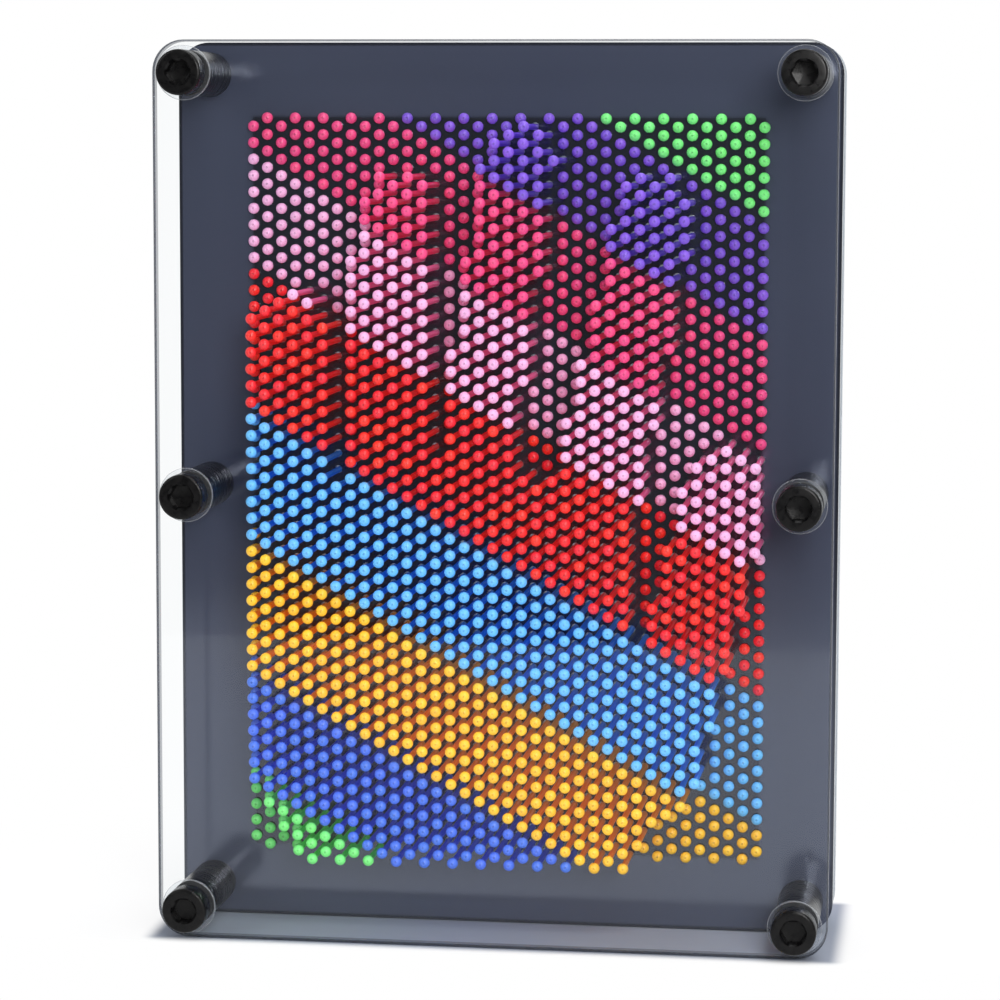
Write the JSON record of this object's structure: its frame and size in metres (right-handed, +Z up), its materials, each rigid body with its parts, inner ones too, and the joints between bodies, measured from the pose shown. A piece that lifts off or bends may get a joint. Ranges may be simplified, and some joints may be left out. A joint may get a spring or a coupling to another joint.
{
  "type": "pin art impression toy",
  "caption": "Upright desk toy: coloured plastic pins slide through perforated plates behind a clear cover and keep the shape of whatever presses into them.",
  "frame": {"origin": "centre of the bounding box's bottom face, level with the lower edges of the plates the toy stands on", "axes": "+X to the right seen from the front, +Y from the clear cover to the rear along the pins, +Z up"},
  "size_m": [0.15, 0.0668, 0.2],
  "materials": {
    "clear_cover": "clear polished acrylic sheet",
    "slate_panel": "dark slate polished plastic sheet",
    "smoke_clear_panel": "translucent clear plastic sheet",
    "black_screw": "black coated steel",
    "black_sleeve": "black moulded plastic",
    "clear_washer": "clear moulded plastic",
    "pin_green": "solid coloured moulded plastic",
    "pin_light_pink": "solid coloured moulded plastic",
    "pin_magenta": "solid coloured moulded plastic",
    "pin_red": "solid coloured moulded plastic",
    "pin_royal_blue": "solid coloured moulded plastic",
    "pin_sky_blue": "solid coloured moulded plastic",
    "pin_violet": "solid coloured moulded plastic",
    "pin_yellow": "solid coloured moulded plastic"
  },
  "bodies": {
    "frame": {"back_guide_plate": "smoke_clear_panel", "back_spacer_sleeves": "black_sleeve", "back_washers": "clear_washer", "cap_screws": "black_screw", "clear_front_cover": "clear_cover", "front_guide_plate": "slate_panel", "front_spacer_sleeves": "black_sleeve", "front_washers": "clear_washer", "hex_nuts": "black_screw"},
    "pins_flat_green_lower": {"pins_flat_green_lower": "pin_green"},
    "pins_flat_green_upper": {"pins_flat_green_upper": "pin_green"},
    "pins_flat_light_pink": {"pins_flat_light_pink": "pin_light_pink"},
    "pins_flat_magenta": {"pins_flat_magenta": "pin_magenta"},
    "pins_flat_red": {"pins_flat_red": "pin_red"},
    "pins_flat_royal_blue": {"pins_flat_royal_blue": "pin_royal_blue"},
    "pins_flat_sky_blue": {"pins_flat_sky_blue": "pin_sky_blue"},
    "pins_flat_violet": {"pins_flat_violet": "pin_violet"},
    "pins_flat_yellow": {"pins_flat_yellow": "pin_yellow"},
    "pins_index_finger_light_pink": {"pins_index_finger_light_pink": "pin_light_pink"},
    "pins_index_finger_magenta": {"pins_index_finger_magenta": "pin_magenta"},
    "pins_index_finger_red": {"pins_index_finger_red": "pin_red"},
    "pins_index_finger_violet": {"pins_index_finger_violet": "pin_violet"},
    "pins_little_finger_red": {"pins_little_finger_red": "pin_red"},
    "pins_little_finger_sky_blue": {"pins_little_finger_sky_blue": "pin_sky_blue"},
    "pins_middle_finger_light_pink": {"pins_middle_finger_light_pink": "pin_light_pink"},
    "pins_middle_finger_magenta": {"pins_middle_finger_magenta": "pin_magenta"},
    "pins_middle_finger_red": {"pins_middle_finger_red": "pin_red"},
    "pins_middle_finger_violet": {"pins_middle_finger_violet": "pin_violet"},
    "pins_palm_green_lower": {"pins_palm_green_lower": "pin_green"},
    "pins_palm_red": {"pins_palm_red": "pin_red"},
    "pins_palm_royal_blue": {"pins_palm_royal_blue": "pin_royal_blue"},
    "pins_palm_sky_blue": {"pins_palm_sky_blue": "pin_sky_blue"},
    "pins_palm_yellow": {"pins_palm_yellow": "pin_yellow"},
    "pins_ring_finger_light_pink": {"pins_ring_finger_light_pink": "pin_light_pink"},
    "pins_ring_finger_magenta": {"pins_ring_finger_magenta": "pin_magenta"},
    "pins_ring_finger_red": {"pins_ring_finger_red": "pin_red"},
    "pins_thumb_light_pink": {"pins_thumb_light_pink": "pin_light_pink"},
    "pins_thumb_red": {"pins_thumb_red": "pin_red"}
  },
  "joints": [
    {"name": "push_flat_green_lower", "type": "slide", "parent": "frame", "child": "pins_flat_green_lower", "axis": [0, -1, 0], "range_m": [0, 0.02]},
    {"name": "push_flat_green_upper", "type": "slide", "parent": "frame", "child": "pins_flat_green_upper", "axis": [0, -1, 0], "range_m": [0, 0.02]},
    {"name": "push_flat_light_pink", "type": "slide", "parent": "frame", "child": "pins_flat_light_pink", "axis": [0, -1, 0], "range_m": [0, 0.02]},
    {"name": "push_flat_magenta", "type": "slide", "parent": "frame", "child": "pins_flat_magenta", "axis": [0, -1, 0], "range_m": [0, 0.02]},
    {"name": "push_flat_red", "type": "slide", "parent": "frame", "child": "pins_flat_red", "axis": [0, -1, 0], "range_m": [0, 0.02]},
    {"name": "push_flat_royal_blue", "type": "slide", "parent": "frame", "child": "pins_flat_royal_blue", "axis": [0, -1, 0], "range_m": [0, 0.02]},
    {"name": "push_flat_sky_blue", "type": "slide", "parent": "frame", "child": "pins_flat_sky_blue", "axis": [0, -1, 0], "range_m": [0, 0.02]},
    {"name": "push_flat_violet", "type": "slide", "parent": "frame", "child": "pins_flat_violet", "axis": [0, -1, 0], "range_m": [0, 0.02]},
    {"name": "push_flat_yellow", "type": "slide", "parent": "frame", "child": "pins_flat_yellow", "axis": [0, -1, 0], "range_m": [0, 0.02]},
    {"name": "push_index_finger_light_pink", "type": "slide", "parent": "frame", "child": "pins_index_finger_light_pink", "axis": [0, -1, 0], "range_m": [-0.0177, 0.00049]},
    {"name": "push_index_finger_magenta", "type": "slide", "parent": "frame", "child": "pins_index_finger_magenta", "axis": [0, -1, 0], "range_m": [-0.01768, 0.00051]},
    {"name": "push_index_finger_red", "type": "slide", "parent": "frame", "child": "pins_index_finger_red", "axis": [0, -1, 0], "range_m": [-0.01741, 0.00049]},
    {"name": "push_index_finger_violet", "type": "slide", "parent": "frame", "child": "pins_index_finger_violet", "axis": [0, -1, 0], "range_m": [-0.01756, 0.00052]},
    {"name": "push_little_finger_red", "type": "slide", "parent": "frame", "child": "pins_little_finger_red", "axis": [0, -1, 0], "range_m": [-0.01786, 0.00049]},
    {"name": "push_little_finger_sky_blue", "type": "slide", "parent": "frame", "child": "pins_little_finger_sky_blue", "axis": [0, -1, 0], "range_m": [-0.01831, 0.00049]},
    {"name": "push_middle_finger_light_pink", "type": "slide", "parent": "frame", "child": "pins_middle_finger_light_pink", "axis": [0, -1, 0], "range_m": [-0.01764, 0.00049]},
    {"name": "push_middle_finger_magenta", "type": "slide", "parent": "frame", "child": "pins_middle_finger_magenta", "axis": [0, -1, 0], "range_m": [-0.01754, 0.00049]},
    {"name": "push_middle_finger_red", "type": "slide", "parent": "frame", "child": "pins_middle_finger_red", "axis": [0, -1, 0], "range_m": [-0.01794, 0.00049]},
    {"name": "push_middle_finger_violet", "type": "slide", "parent": "frame", "child": "pins_middle_finger_violet", "axis": [0, -1, 0], "range_m": [-0.01754, 0.00051]},
    {"name": "push_palm_green_lower", "type": "slide", "parent": "frame", "child": "pins_palm_green_lower", "axis": [0, -1, 0], "range_m": [-0.01445, 0.00396]},
    {"name": "push_palm_red", "type": "slide", "parent": "frame", "child": "pins_palm_red", "axis": [0, -1, 0], "range_m": [-0.01796, 0.00049]},
    {"name": "push_palm_royal_blue", "type": "slide", "parent": "frame", "child": "pins_palm_royal_blue", "axis": [0, -1, 0], "range_m": [-0.01434, 0.00132]},
    {"name": "push_palm_sky_blue", "type": "slide", "parent": "frame", "child": "pins_palm_sky_blue", "axis": [0, -1, 0], "range_m": [-0.01679, 0.00052]},
    {"name": "push_palm_yellow", "type": "slide", "parent": "frame", "child": "pins_palm_yellow", "axis": [0, -1, 0], "range_m": [-0.01418, 0.00057]},
    {"name": "push_ring_finger_light_pink", "type": "slide", "parent": "frame", "child": "pins_ring_finger_light_pink", "axis": [0, -1, 0], "range_m": [-0.01759, 0.00049]},
    {"name": "push_ring_finger_magenta", "type": "slide", "parent": "frame", "child": "pins_ring_finger_magenta", "axis": [0, -1, 0], "range_m": [-0.01772, 0.00049]},
    {"name": "push_ring_finger_red", "type": "slide", "parent": "frame", "child": "pins_ring_finger_red", "axis": [0, -1, 0], "range_m": [-0.01775, 0.00049]},
    {"name": "push_thumb_light_pink", "type": "slide", "parent": "frame", "child": "pins_thumb_light_pink", "axis": [0, -1, 0], "range_m": [-0.01775, 0.00051]},
    {"name": "push_thumb_red", "type": "slide", "parent": "frame", "child": "pins_thumb_red", "axis": [0, -1, 0], "range_m": [-0.01781, 0.00049]}
  ]
}
